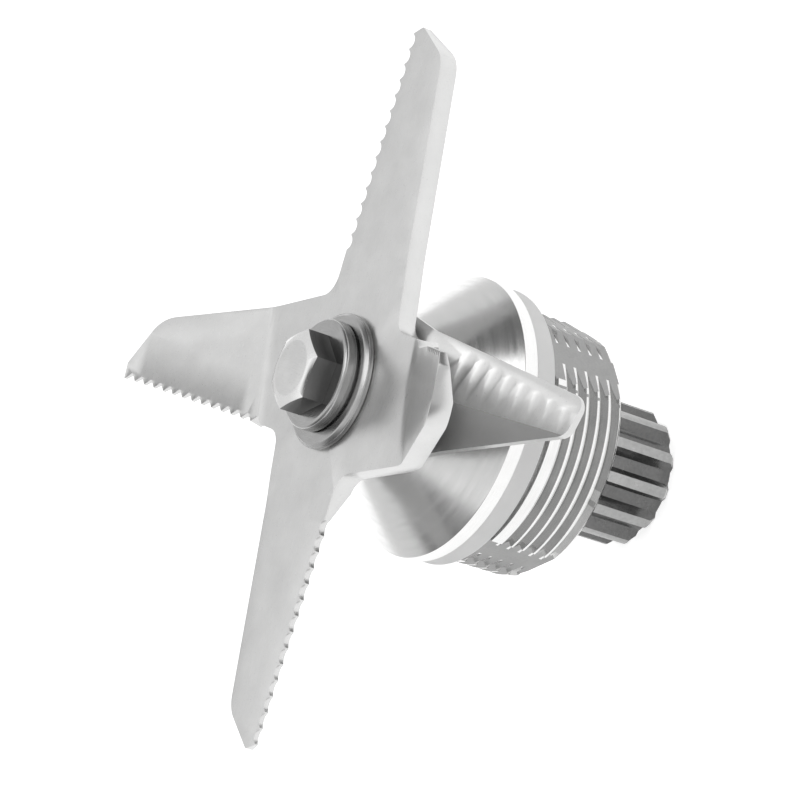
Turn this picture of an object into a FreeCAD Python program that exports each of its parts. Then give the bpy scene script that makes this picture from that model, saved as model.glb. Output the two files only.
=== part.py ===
import FreeCAD, Part
import math
import os

# Blade unit of a kitchen blender: six cutting arms on a spindle, carried by two ball
# bearings in a threaded housing, with a drive spline underneath.
# All sizes in mm. The spindle axis is Z, the unit stands on the end of its spline at z = 0,
# one flat arm points along +Y and one bent pair lies along X.

os.makedirs("parts", exist_ok=True)
V = FreeCAD.Vector
UP = V(0, 0, 1)

# Heights of the main faces
HOUSING_END_Z = 13.0
THREAD_TOP_Z = 21.0
NECK_Z = 22.3
GASKET_Z = 23.4
RIM_Z = 26.0
CONE_Z = 27.7
CONE_TOP_Z = 36.0
BLADE_TOP_Z = 41.4

# Clearances
RUN_FIT = 0.04
FREE_GAP = 0.4
SLIP = 0.05

# Upper blade: one plate with four arms, two flat and two raised
UPPER_T = 2.2
RAISE_ANGLE = 24.5
RAISE_LINE = 15.4
RAISE_SKEW = 21.0
BEND_R = 2.0
LONG_TIP = 40.45
SHORT_TIP = 36.0
EDGE_X = -7.14
EDGE_SLANT = 0.03
LONG_TEETH = 14
LONG_PITCH = 1.8
LONG_START = 14.35
LONG_DEPTH = 0.65
SHORT_TEETH = 14
SHORT_PITCH = 1.53
SHORT_START = 13.7
SHORT_DEPTH = 0.8
LAND = 0.6
BEVEL_W = 5.2
BEVEL_START = 11.0
BEVEL_RISE = 25.0

# Lower blade: one plate with two arms bent down
LOWER_T = 1.3
DROP_ANGLE = 24.0
DROP_LINE = 11.5
DROP_BEVEL_W = 4.4
DROP_BEVEL_ANGLE = 5.0
DROP_BEVEL_SKEW = 6.8
DROP_EDGE_LAND = 0.3
DROP_EDGE_ANGLE = 22.0
FLUTES = 8
FLUTE_PITCH = 2.02
FLUTE_R = 2.6
FLUTE_ANGLE = 8.5

# Spindle and its drive flats
SHAFT_R = 4.0
FLAT_HALF = 3.0
SPINDLE_TOP_Z = BLADE_TOP_Z - 0.4
SPINDLE_LOW_Z = 5.2
SLEEVE_R = 5.0
SLEEVE_FLANGE_R = 6.2
LOWER_SEAT_Z = BLADE_TOP_Z - UPPER_T - LOWER_T

# Top bolt and washers
BOLT_R = 2.5
BOLT_LENGTH = 14.0
HEX_FLATS = 8.0
HEX_H = 2.95
HEX_CHAMFER_H = 0.45
HEX_TOP_R = 3.15
HEX_TURN = 25.8
WIDE_WASHER_R = 7.7
WIDE_WASHER_T = 1.15
THICK_WASHER_R = 6.25
THICK_WASHER_T = 1.75
THICK_WASHER_BORE_R = 2.85
THICK_WASHER_SHIFT = (-0.08, 0.25)

# Bearings, size 608
BRG_D_IN = 8.0
BRG_D_OUT = 22.0
BRG_W = 7.0
BALL_R = 1.984
BALL_COUNT = 7
PITCH_R = (BRG_D_IN + BRG_D_OUT) / 4
LAND_IN_R = PITCH_R - 1.45
LAND_OUT_R = PITCH_R + 1.45
SHIELD_R = BRG_D_OUT / 2 - 1.4
UPPER_BRG_Z = 24.4
LOWER_BRG_Z = 15.4

# Housing
THREAD_D = 29.8
THREAD_PITCH = 1.5
THREAD_DEPTH = 0.92
NECK_R = 14.3
GASKET_R = NECK_R + 1.7
RIM_R = GASKET_R + 0.25
CONE_TOP_R = 7.1
SEAL_R = 7.2
SEAL_TOP_Z = 35.2
SLOT_W = 6.9
SLOT_FLOOR = 13.9
SLOT_ANGLES = (50, 174, 298)

# Circlip
CLIP_T = 1.0
CLIP_GROOVE = 0.5

# Drive spline
SPLINE_R = 8.03
SPLINE_ROOT = 6.6
SPLINE_TEETH = 12
SPLINE_TURN = -3.0
SPLINE_TOP_Z = 13.8
SPLINE_CHAMFER = 1.05
SCREW_R = 2.0
SCREW_HEAD_R = 3.5
SCREW_HEAD_Z = 0.9
WEB_Z = 3.4


def polar(r, degrees, z=0.0):
    a = math.radians(degrees)
    return V(r * math.cos(a), r * math.sin(a), z)


def tube(r_in, r_out, z0, z1):
    ring = Part.makeCylinder(r_out, z1 - z0, V(0, 0, z0))
    if r_in > 0:
        ring = ring.cut(Part.makeCylinder(r_in, z1 - z0 + 2, V(0, 0, z0 - 1)))
    return ring


def turned(profile):
    corners = [V(r, 0, z) for r, z in profile]
    face = Part.Face(Part.makePolygon(corners + [corners[0]]))
    return face.revolve(V(0, 0, 0), UP, 360)


def rounded_wire(corners, z):
    # Closed wire through (x, y, radius) corners, each rounded by its own radius
    edges = []
    ends = []
    count = len(corners)
    for i, (x, y, r) in enumerate(corners):
        here = V(x, y, z)
        if r <= 0:
            ends.append((here, None, here))
            continue
        before = corners[i - 1]
        after = corners[(i + 1) % count]
        a = (V(before[0], before[1], z) - here).normalize()
        b = (V(after[0], after[1], z) - here).normalize()
        half = a.getAngle(b) / 2
        reach = r / math.tan(half)
        centre = here + (a + b).normalize() * (r / math.sin(half))
        middle = centre + (here - centre).normalize() * r
        ends.append((here + a * reach, middle, here + b * reach))
    for i in range(count):
        start, middle, stop = ends[i]
        if middle is not None:
            edges.append(Part.Arc(start, middle, stop).toShape())
        following = ends[(i + 1) % count][0]
        if (following - stop).Length > 1e-6:
            edges.append(Part.LineSegment(stop, following).toShape())
    return Part.Wire(edges)


def prism(corners, z0, z1):
    return Part.Face(rounded_wire(corners, z0)).extrude(V(0, 0, z1 - z0))


def with_half_turn(shape):
    other = shape.copy()
    other.rotate(V(0, 0, 0), UP, 180)
    return [shape, other]


def half_turn_corners(corners):
    return corners + [(-x, -y, r) for x, y, r in corners]


def double_flat(radius, half, z0, z1):
    body = Part.makeCylinder(radius, z1 - z0, V(0, 0, z0))
    keep = Part.makeBox(2 * half, 4 * radius, z1 - z0, V(-half, -2 * radius, z0))
    return body.common(keep)


def bent_strip(top_z, thick, line, angle, inner_r, skew, up):
    # Sheet of the blade seen from its edge, flat in the middle and bent at both lines
    a = math.radians(angle)
    tangent = inner_r * math.tan(a / 2)
    reach = 45.0
    near_r = inner_r
    far_r = inner_r + thick
    if up:
        near_z, far_z, side = top_z, top_z - thick, 1
    else:
        near_z, far_z, side = top_z - thick, top_z, -1
    if not up:
        tangent = (inner_r + thick) * math.tan(a / 2)
    cx = line - tangent
    cz = near_z + side * inner_r

    def on_arc(radius, turn):
        return V(cx + radius * math.sin(turn), 0, cz - side * radius * math.cos(turn))

    def straight_end(radius):
        base = on_arc(radius, a)
        return base + V(math.cos(a) * reach, 0, side * math.sin(a) * reach)

    near_arc = Part.Arc(on_arc(near_r, 0), on_arc(near_r, a / 2), on_arc(near_r, a))
    far_arc = Part.Arc(on_arc(far_r, 0), on_arc(far_r, a / 2), on_arc(far_r, a))
    edges = [
        Part.LineSegment(V(0, 0, near_z), on_arc(near_r, 0)).toShape(),
        near_arc.toShape(),
        Part.LineSegment(on_arc(near_r, a), straight_end(near_r)).toShape(),
        Part.LineSegment(straight_end(near_r), straight_end(far_r)).toShape(),
        Part.LineSegment(straight_end(far_r), on_arc(far_r, a)).toShape(),
        far_arc.toShape(),
        Part.LineSegment(on_arc(far_r, 0), V(0, 0, far_z)).toShape(),
        Part.LineSegment(V(0, 0, far_z), V(0, 0, near_z)).toShape(),
    ]
    face = Part.Face(Part.Wire(edges))
    face.translate(V(0, -60, 0))
    half = face.extrude(V(0, 120, 0))
    half.rotate(V(0, 0, 0), UP, skew)
    first, second = with_half_turn(half)
    return first.fuse(second).removeSplitter()


def plan_of(corners, line, angle, skew):
    # Outline of the flat pattern as seen from above once its ends are bent
    c = math.cos(math.radians(angle))
    n = polar(1.0, skew)

    def along(p):
        return p[0] * n.x + p[1] * n.y

    cut = []
    count = len(corners)
    for i, p in enumerate(corners):
        q = corners[(i + 1) % count]
        cut.append(p)
        s, t = along(p), along(q)
        for level in (line, -line):
            if (s - level) * (t - level) < 0:
                f = (level - s) / (t - s)
                cut.append((p[0] + f * (q[0] - p[0]), p[1] + f * (q[1] - p[1]), 0))
    shifted = []
    for x, y, r in cut:
        s = along((x, y))
        extra = max(abs(s) - line, 0) * (1 - c)
        back = -extra if s > 0 else extra
        shifted.append((x + back * n.x, y + back * n.y, r))
    return shifted


def tilt(shape, line, angle, skew, top_z):
    # Carries a tool from the flat pattern onto the bent end on the +X side
    pivot = polar(line, skew, top_z)
    shape.rotate(pivot, polar(1.0, skew - 90), angle)
    return shape


def scallop(pitch, depth):
    # Radius of the round cuts that leave sharp points between them
    return (pitch * pitch / 4 + depth * depth) / (2 * depth)


def saw_comb(start, pitch, count, depth, edge, slant):
    # Outline of the tool that cuts leaning teeth into an edge along X
    corners = [(start, edge + 3, 0.0), (start, edge, 0.0)]
    for i in range(count):
        x = start + i * pitch
        line = edge + slant * (x - start)
        corners.append((x + 0.62 * pitch, line - depth, 0.22))
        corners.append((x + pitch, line + slant * pitch, 0.0))
    last = start + count * pitch
    corners.append((last, edge + 3, 0.0))
    return corners


def edge_bevel(x_edge, width, land, thick, y0, y1, top_z):
    # Wedge that thins the underside of a cutting edge down to the land
    slope = (thick - land) / width
    low = top_z - thick
    corners = [
        V(x_edge + width, y0, low),
        V(x_edge - 2, y0, top_z - land + 2 * slope),
        V(x_edge - 2, y0, low - 2),
        V(x_edge + width, y0, low - 2),
    ]
    face = Part.Face(Part.makePolygon(corners + [corners[0]]))
    return face.extrude(V(0, y1 - y0, 0))


def make_upper_blade():
    top = BLADE_TOP_Z
    flat = [
        (9.25, 7.2, 1.8),
        (7.85, 11.65, 12.0),
        (6.6, 15.0, 20.0),
        (-0.5, 36.9, 1.2),
        (-6.2, LONG_TIP, 0.5),
        (-7.9, LONG_TIP - 0.9, 0.3),
        (-6.95, 8.1, 3.8),
        (-13.9, 7.6, 8.0),
        (-32.8, 0.8, 1.2),
        (-SHORT_TIP, -6.0, 0.5),
        (-SHORT_TIP + 0.7, -7.75, 0.3),
        (-SHORT_START + 0.1, EDGE_X, 0.0),
    ]
    outline = plan_of(half_turn_corners(flat), RAISE_LINE, RAISE_ANGLE, RAISE_SKEW)
    plate = bent_strip(top, UPPER_T, RAISE_LINE, RAISE_ANGLE, BEND_R, RAISE_SKEW, True)
    blade = plate.common(prism(outline, top - 5, top + 25))

    cuts = []
    bevel = edge_bevel(EDGE_X, BEVEL_W, LAND, UPPER_T, BEVEL_START, 45, top)
    runout = Part.makeBox(20, 12, 6, V(-15, BEVEL_START, top - UPPER_T))
    runout.rotate(V(0, BEVEL_START, top - UPPER_T), V(1, 0, 0), BEVEL_RISE)
    bevel = bevel.cut(runout)
    cuts += with_half_turn(bevel)
    raised = edge_bevel(EDGE_X, BEVEL_W, LAND, UPPER_T, 16.4, 45, top)
    raised.rotate(V(0, 0, 0), UP, -90)
    cuts += with_half_turn(tilt(raised, RAISE_LINE, RAISE_ANGLE, RAISE_SKEW, top))

    r = scallop(LONG_PITCH, LONG_DEPTH)
    for i in range(LONG_TEETH):
        y = LONG_START + (i + 0.5) * LONG_PITCH
        edge = EDGE_X - EDGE_SLANT * (y - LONG_START)
        tool = Part.makeCylinder(r, 4, V(edge - r + LONG_DEPTH, y, top - 3))
        cuts += with_half_turn(tool)
    comb = saw_comb(SHORT_START, SHORT_PITCH, SHORT_TEETH, SHORT_DEPTH, -EDGE_X, EDGE_SLANT)
    tool = prism(comb, top - 5, top + 4)
    tilt(tool, RAISE_LINE, RAISE_ANGLE, RAISE_SKEW, top)
    cuts += with_half_turn(tool)
    blade = blade.cut(cuts[0].fuse(cuts[1:]))
    hole = double_flat(SHAFT_R + SLIP, FLAT_HALF + SLIP, top - 5, top + 5)
    return blade.cut(hole)


def make_lower_blade():
    top = BLADE_TOP_Z - UPPER_T
    flat = [
        (12.0, -6.3, 3.0),
        (18.0, -3.5, 0.0),
        (32.3, 2.1, 1.6),
        (33.1, 6.3, 1.5),
        (11.0, 8.7, 3.0),
        (4.0, 9.9, 6.0),
    ]
    outline = plan_of(half_turn_corners(flat), DROP_LINE, DROP_ANGLE, 0)
    plate = bent_strip(top, LOWER_T, DROP_LINE, DROP_ANGLE, 1.5, 0, False)
    blade = plate.common(prism(outline, top - 22, top + 1))

    # Cutting edge on the leading side: a wide shallow bevel with flutes, then a steep narrow one
    lead = math.degrees(math.atan2(6.4 - 8.6, 33.0 - 11.9))
    tools = []
    grind = Part.makeBox(28, 11, 4, V(-3, -DROP_BEVEL_W, 0))
    grind.rotate(V(20, -DROP_BEVEL_W, 0), V(1, 0, 0), -DROP_BEVEL_ANGLE)
    grind.rotate(V(20, -DROP_BEVEL_W, 0), UP, DROP_BEVEL_SKEW)
    tools.append(grind)
    low = DROP_EDGE_LAND - LOWER_T
    steep = Part.makeBox(28, 10, 4, V(-3, -4, low))
    steep.rotate(V(0, 0, low), V(1, 0, 0), -DROP_EDGE_ANGLE)
    tools.append(steep)
    for i in range(FLUTES):
        x = 3.6 + (i + 0.5) * FLUTE_PITCH
        inner = -DROP_BEVEL_W - (20 - x) * math.tan(math.radians(DROP_BEVEL_SKEW))
        flute = Part.makeCylinder(FLUTE_R, 10, V(x, inner, FLUTE_R), V(0, 1, 0))
        flute.rotate(V(0, inner, 0), V(1, 0, 0), -FLUTE_ANGLE)
        tools.append(flute)
    cuts = []
    for tool in tools:
        tool.rotate(V(0, 0, 0), UP, lead)
        tool.translate(V(13.0, 8.55, top))
        tool.rotate(V(DROP_LINE, 0, top), V(0, 1, 0), DROP_ANGLE)
        cuts += with_half_turn(tool)
    blade = blade.cut(cuts[0].fuse(cuts[1:]))
    hole = double_flat(SHAFT_R + SLIP, FLAT_HALF + SLIP, top - 5, top + 5)
    return blade.cut(hole)


def make_bolt():
    head_z = BLADE_TOP_Z + WIDE_WASHER_T + THICK_WASHER_T
    corner_r = HEX_FLATS / 2 / math.cos(math.radians(30))
    corners = [polar(corner_r, HEX_TURN + 60 * i, head_z) for i in range(6)]
    head = Part.Face(Part.makePolygon(corners + [corners[0]])).extrude(V(0, 0, HEX_H))
    cone = turned([(0, head_z), (corner_r, head_z), (corner_r, head_z + HEX_H - HEX_CHAMFER_H),
                   (HEX_TOP_R, head_z + HEX_H), (0, head_z + HEX_H)])
    head = head.common(cone)
    low = head_z - BOLT_LENGTH
    shank = turned([(0, low), (BOLT_R - 0.5, low), (BOLT_R, low + 0.5), (BOLT_R, head_z + 0.2), (0, head_z + 0.2)])
    return head.fuse(shank).removeSplitter()


def make_thick_washer():
    z0 = BLADE_TOP_Z + WIDE_WASHER_T
    z1 = z0 + THICK_WASHER_T
    r = THICK_WASHER_R
    bore = THICK_WASHER_BORE_R
    ring = turned([(bore, z0), (r - 0.45, z0), (r - 0.45, z0 + 0.25), (r, z0 + 0.25),
                   (r, z1 - 0.45), (r - 0.12, z1 - 0.12), (r - 0.45, z1), (bore, z1)])
    ring.translate(V(THICK_WASHER_SHIFT[0], THICK_WASHER_SHIFT[1], 0))
    return ring


def make_wide_washer():
    z0 = BLADE_TOP_Z
    z1 = z0 + WIDE_WASHER_T
    r = WIDE_WASHER_R
    return turned([(BOLT_R + 0.15, z0), (r - 0.15, z0), (r, z0 + 0.2), (r, z1 - 0.5), (r - 0.15, z1 - 0.2),
                   (r - 0.5, z1), (BOLT_R + 0.15, z1)])


def make_sleeve():
    z0 = UPPER_BRG_Z + BRG_W
    z1 = LOWER_SEAT_Z
    flange_z = CONE_TOP_Z + FREE_GAP
    return turned([(SHAFT_R, z0), (SLEEVE_R, z0), (SLEEVE_R, flange_z), (SLEEVE_FLANGE_R, flange_z),
                   (SLEEVE_FLANGE_R, z1), (SHAFT_R, z1)])


def make_spindle():
    body = turned([(0, SPINDLE_LOW_Z + 9), (SHAFT_R, SPINDLE_LOW_Z + 9), (SHAFT_R, LOWER_SEAT_Z), (0, LOWER_SEAT_Z)])
    upper = double_flat(SHAFT_R, FLAT_HALF, LOWER_SEAT_Z - 0.1, SPINDLE_TOP_Z)
    lower = double_flat(SHAFT_R, FLAT_HALF, SPINDLE_LOW_Z, SPINDLE_LOW_Z + 9.1)
    body = body.fuse([upper, lower]).removeSplitter()
    bolt_low = BLADE_TOP_Z + WIDE_WASHER_T + THICK_WASHER_T - BOLT_LENGTH
    top_hole = Part.makeCylinder(BOLT_R + SLIP, 30, V(0, 0, bolt_low - 2))
    low_hole = Part.makeCylinder(SCREW_R + SLIP, 12, V(0, 0, SPINDLE_LOW_Z - 1))
    return body.cut(top_hole.fuse(low_hole))


def torus_cut(z):
    return Part.makeTorus(PITCH_R, BALL_R + RUN_FIT, V(0, 0, z), UP)


def make_outer_ring(z0):
    z1 = z0 + BRG_W
    r = BRG_D_OUT / 2
    ring = turned([(LAND_OUT_R, z0 + 1.0), (SHIELD_R, z0 + 1.0), (SHIELD_R, z0), (r - 0.3, z0), (r, z0 + 0.3),
                   (r, z1 - 0.3), (r - 0.3, z1), (SHIELD_R, z1), (SHIELD_R, z1 - 1.0), (LAND_OUT_R, z1 - 1.0)])
    return ring.cut(torus_cut(z0 + BRG_W / 2))


def make_inner_ring(z0):
    z1 = z0 + BRG_W
    r = BRG_D_IN / 2
    ring = turned([(r, z0), (LAND_IN_R - 0.3, z0), (LAND_IN_R, z0 + 0.3), (LAND_IN_R, z1 - 0.3),
                   (LAND_IN_R - 0.3, z1), (r, z1)])
    return ring.cut(torus_cut(z0 + BRG_W / 2))


def make_balls(z0):
    z = z0 + BRG_W / 2
    return Part.makeCompound([Part.makeSphere(BALL_R, polar(PITCH_R, 360 * i / BALL_COUNT, z))
                              for i in range(BALL_COUNT)])


def make_cage(z0):
    z = z0 + BRG_W / 2
    ring = tube(PITCH_R - 0.5, PITCH_R + 0.5, z - 1.3, z + 1.3)
    pockets = [Part.makeSphere(BALL_R + 0.02, polar(PITCH_R, 360 * i / BALL_COUNT, z)) for i in range(BALL_COUNT)]
    ring = ring.cut(pockets[0].fuse(pockets[1:]))
    rims = tube(PITCH_R - 0.5, PITCH_R + 0.5, z - 2.5, z - 1.3).fuse(
        tube(PITCH_R - 0.5, PITCH_R + 0.5, z + 1.3, z + 2.5))
    return ring.fuse(rims).cut(pockets[0].fuse(pockets[1:])).removeSplitter()


def make_shields(z0):
    low = tube(LAND_IN_R + FREE_GAP, SHIELD_R, z0 + 0.3, z0 + 0.6)
    high = tube(LAND_IN_R + FREE_GAP, SHIELD_R, z0 + BRG_W - 0.6, z0 + BRG_W - 0.3)
    return Part.makeCompound([low, high])


def make_seal():
    z0 = UPPER_BRG_Z + BRG_W
    z1 = SEAL_TOP_Z
    lip = SLEEVE_R + RUN_FIT
    ring = turned([(SEAL_R - 1.0, z0 + 0.5), (SEAL_R, z0 + 0.5), (SEAL_R, z1), (lip + 0.5, z1), (lip, z1 - 0.5),
                   (lip, z1 - 0.9), (lip + 0.5, z1 - 1.4), (lip + 0.9, z1 - 1.0), (SEAL_R - 1.0, z1 - 1.0)])
    groove = Part.makeTorus(lip + 0.72, 0.3, V(0, 0, z1 - 1.35), UP)
    return ring.cut(groove)


def make_seal_spring():
    return Part.makeTorus(SLEEVE_R + RUN_FIT + 0.72, 0.28, V(0, 0, SEAL_TOP_Z - 1.35), UP)


def thread_groove(major, pitch, depth, z0, z1):
    helix = Part.makeHelix(pitch, z1 - z0, major / 2)
    wide = pitch * 0.43
    narrow = pitch * 0.12
    out = major / 2 + 0.06
    deep = major / 2 - depth
    corners = [V(out, 0, -wide), V(deep, 0, -narrow), V(deep, 0, narrow), V(out, 0, wide)]
    profile = Part.makePolygon(corners + [corners[0]])
    groove = Part.Wire(helix).makePipeShell([profile], True, True)
    groove.translate(V(0, 0, z0))
    return groove


def make_housing():
    r = THREAD_D / 2
    bore = BRG_D_OUT / 2
    shoulder = UPPER_BRG_Z + BRG_W
    body = turned([
        (bore + 0.5, HOUSING_END_Z), (r - 0.8, HOUSING_END_Z), (r, HOUSING_END_Z + 0.8), (r, NECK_Z),
        (NECK_R, NECK_Z), (NECK_R, RIM_Z), (RIM_R, RIM_Z), (RIM_R, CONE_Z),
        (CONE_TOP_R, CONE_TOP_Z), (SLEEVE_R + 0.5, CONE_TOP_Z), (SLEEVE_R + 0.5, SEAL_TOP_Z),
        (SEAL_R, SEAL_TOP_Z), (SEAL_R, shoulder), (bore, shoulder), (bore, HOUSING_END_Z + 0.5)])
    clip_groove = tube(bore - 1, bore + CLIP_GROOVE, LOWER_BRG_Z - CLIP_T - SLIP, LOWER_BRG_Z + SLIP)
    body = body.cut(clip_groove)
    body = body.cut(thread_groove(THREAD_D, THREAD_PITCH, THREAD_DEPTH, HOUSING_END_Z - 1.6, THREAD_TOP_Z - 0.3))
    for angle in SLOT_ANGLES:
        slot = Part.makeBox(4, SLOT_W, GASKET_Z - HOUSING_END_Z + 0.8,
                            V(SLOT_FLOOR, -SLOT_W / 2, HOUSING_END_Z - 1))
        slot.rotate(V(0, 0, 0), UP, angle)
        body = body.cut(slot)
    return body


def make_gasket():
    r = GASKET_R
    return turned([(NECK_R, GASKET_Z), (r - 0.25, GASKET_Z), (r, GASKET_Z + 0.25), (r, RIM_Z), (NECK_R, RIM_Z)])


def make_clip():
    z0 = LOWER_BRG_Z - CLIP_T
    bore = BRG_D_OUT / 2
    ring = tube(bore - 1.3, bore + CLIP_GROOVE - SLIP, z0, LOWER_BRG_Z)
    mouth = Part.makeBox(bore + 1, 4.4, CLIP_T + 2, V(0, -2.2, z0 - 1))
    ring = ring.cut(mouth)
    for side in (-1, 1):
        ear = polar(bore - 1.6, side * 20)
        ring = ring.fuse(Part.makeCylinder(1.5, CLIP_T, V(ear.x, ear.y, z0)))
    for side in (-1, 1):
        ear = polar(bore - 1.7, side * 20)
        ring = ring.cut(Part.makeCylinder(0.7, 3, V(ear.x, ear.y, z0 - 1)))
    inside = Part.makeCylinder(bore + CLIP_GROOVE - SLIP, 5, V(0, 0, z0 - 2))
    return ring.common(inside).removeSplitter()


def make_spline():
    body = turned([(0, 0), (SPLINE_R - SPLINE_CHAMFER, 0), (SPLINE_R, SPLINE_CHAMFER), (SPLINE_R, SPLINE_TOP_Z),
                   (LAND_IN_R - 0.35, SPLINE_TOP_Z), (LAND_IN_R - 0.35, LOWER_BRG_Z), (0, LOWER_BRG_Z)])
    outer = math.radians(10.6)
    inner = math.radians(6.2)
    far = SPLINE_R + 0.3
    gap = [
        V(SPLINE_ROOT, -SPLINE_ROOT * math.tan(inner), -1),
        V(far, -far * math.tan(outer), -1),
        V(far, far * math.tan(outer), -1),
        V(SPLINE_ROOT, SPLINE_ROOT * math.tan(inner), -1),
    ]
    cutter = Part.Face(Part.makePolygon(gap + [gap[0]])).extrude(V(0, 0, SPLINE_TOP_Z - 0.2))
    step = 360 / SPLINE_TEETH
    for i in range(SPLINE_TEETH):
        tool = cutter.copy()
        tool.rotate(V(0, 0, 0), UP, SPLINE_TURN + (i + 0.5) * step)
        body = body.cut(tool)
    socket = double_flat(SHAFT_R + SLIP, FLAT_HALF + SLIP, WEB_Z + 1.6, SPINDLE_LOW_Z + 9)
    above = Part.makeCylinder(SHAFT_R, 5, V(0, 0, SPINDLE_LOW_Z + 9))
    head_bore = Part.makeCylinder(SCREW_HEAD_R + 0.3, WEB_Z + 1, V(0, 0, -1))
    screw_hole = Part.makeCylinder(SCREW_R + 0.2, 10, V(0, 0, -1))
    return body.cut(socket.fuse([above, head_bore, screw_hole]))


def make_screw():
    head = Part.makeCylinder(SCREW_HEAD_R, WEB_Z - SCREW_HEAD_Z, V(0, 0, SCREW_HEAD_Z))
    corner_r = 3.0 / 2 / math.cos(math.radians(30))
    corners = [polar(corner_r, 60 * i, SCREW_HEAD_Z - 0.1) for i in range(6)]
    socket = Part.Face(Part.makePolygon(corners + [corners[0]])).extrude(V(0, 0, 1.5))
    shank = Part.makeCylinder(SCREW_R, 9, V(0, 0, WEB_Z - 0.2))
    return head.cut(socket).fuse(shank).removeSplitter()


SPACE_Z0 = LOWER_BRG_Z + BRG_W
SPACE_Z1 = UPPER_BRG_Z

PARTS = {
    "top_bolt": make_bolt,
    "thick_washer": make_thick_washer,
    "wide_washer": make_wide_washer,
    "upper_blade": make_upper_blade,
    "lower_blade": make_lower_blade,
    "seat_sleeve": make_sleeve,
    "spindle": make_spindle,
    "lip_seal": make_seal,
    "seal_spring": make_seal_spring,
    "upper_outer_ring": lambda: make_outer_ring(UPPER_BRG_Z),
    "upper_inner_ring": lambda: make_inner_ring(UPPER_BRG_Z),
    "upper_balls": lambda: make_balls(UPPER_BRG_Z),
    "upper_cage": lambda: make_cage(UPPER_BRG_Z),
    "upper_shields": lambda: make_shields(UPPER_BRG_Z),
    "inner_spacer": lambda: tube(SHAFT_R, LAND_IN_R - 0.3, SPACE_Z0, SPACE_Z1),
    "outer_spacer": lambda: tube(BRG_D_OUT / 2 - 1.3, BRG_D_OUT / 2, SPACE_Z0, SPACE_Z1),
    "lower_outer_ring": lambda: make_outer_ring(LOWER_BRG_Z),
    "lower_inner_ring": lambda: make_inner_ring(LOWER_BRG_Z),
    "lower_balls": lambda: make_balls(LOWER_BRG_Z),
    "lower_cage": lambda: make_cage(LOWER_BRG_Z),
    "lower_shields": lambda: make_shields(LOWER_BRG_Z),
    "housing": make_housing,
    "gasket": make_gasket,
    "circlip": make_clip,
    "drive_spline": make_spline,
    "spline_screw": make_screw,
}

for name, make in PARTS.items():
    shape = make()
    if shape.ShapeType == "Compound" and len(shape.Solids) == 1:
        shape = shape.Solids[0]
    shape.exportStep("parts/" + name + ".step")
    print(name, "valid" if shape.isValid() else "NOT VALID", len(shape.Solids), "solids",
          round(shape.Volume, 1), "mm3")
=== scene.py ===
import math

import bmesh
import bpy
from mathutils import Matrix, Vector


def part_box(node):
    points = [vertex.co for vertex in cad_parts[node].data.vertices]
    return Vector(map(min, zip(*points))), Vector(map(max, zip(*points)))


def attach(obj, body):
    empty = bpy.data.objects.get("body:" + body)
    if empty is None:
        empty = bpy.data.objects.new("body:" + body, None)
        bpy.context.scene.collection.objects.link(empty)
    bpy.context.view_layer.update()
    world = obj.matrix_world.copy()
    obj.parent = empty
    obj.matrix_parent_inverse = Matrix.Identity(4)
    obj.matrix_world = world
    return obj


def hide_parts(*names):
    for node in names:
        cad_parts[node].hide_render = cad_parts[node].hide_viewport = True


bl_info = {
    "name": "Blender blade unit",
    "version": (1, 0, 0),
    "blender": (4, 5, 0),
    "location": "View3D > Sidebar > Blade unit",
    "description": "Dresses the packed blade unit of a kitchen blender in turned, ground and moulded detail",
    "category": "Object",
}

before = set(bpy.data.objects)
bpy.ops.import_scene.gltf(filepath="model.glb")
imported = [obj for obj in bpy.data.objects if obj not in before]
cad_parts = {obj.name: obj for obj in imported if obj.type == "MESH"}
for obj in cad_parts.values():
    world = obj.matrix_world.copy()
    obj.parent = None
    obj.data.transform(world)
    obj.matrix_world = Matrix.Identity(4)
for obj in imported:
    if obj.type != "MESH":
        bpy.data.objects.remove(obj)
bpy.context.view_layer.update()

MM = 0.001
UP = Vector((0, 0, 1))
ROUND_STEPS = 256
WELD = 0.0005

# Where the pieces sit, read from the frame in millimetres
SPINDLE_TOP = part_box("spindle")[1].z / MM
TOP = SPINDLE_TOP + 0.4
HOUSING_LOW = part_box("housing")[0].z / MM
CONE_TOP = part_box("housing")[1].z / MM
GASKET_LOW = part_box("gasket")[0].z / MM
RIM_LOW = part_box("gasket")[1].z / MM
SPLINE_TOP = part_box("drive_spline")[1].z / MM


# Shapes

def polar(r, degrees, z=0.0):
    a = math.radians(degrees)
    return Vector((r * math.cos(a), r * math.sin(a), z))


def rounded(corners, segments=5):
    # Points of a closed outline whose (x, y, radius) corners are rounded
    points = []
    count = len(corners)
    for i, (x, y, r) in enumerate(corners):
        here = Vector((x, y))
        if r <= 0:
            points.append(here)
            continue
        before = Vector(corners[i - 1][:2]) - here
        after = Vector(corners[(i + 1) % count][:2]) - here
        a, b = before.normalized(), after.normalized()
        half = a.angle(b) / 2
        reach = min(r / math.tan(half), before.length * 0.49, after.length * 0.49)
        r = reach * math.tan(half)
        centre = here + (a + b).normalized() * (r / math.sin(half))
        start = here + a * reach - centre
        turn = (here + b * reach - centre).angle_signed(start)
        steps = max(2, int(segments * abs(turn) / 0.8) + 1)
        for k in range(steps + 1):
            c, s = math.cos(turn * k / steps), math.sin(turn * k / steps)
            points.append(centre + Vector((c * start.x - s * start.y, s * start.x + c * start.y)))
    return points


def flat_faces(bm, least):
    # Faces of the connected flat areas that cover at least this many square millimetres
    found, seen = set(), set()
    for first in bm.faces:
        if first in seen:
            continue
        seen.add(first)
        area, edge = [first], [first]
        while edge:
            f = edge.pop()
            for e in f.edges:
                for g in e.link_faces:
                    if g not in seen and g.normal.dot(first.normal) > 0.9997:
                        seen.add(g)
                        area.append(g)
                        edge.append(g)
        if sum(f.calc_area() for f in area) > least:
            found.update(area)
    return found


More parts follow.
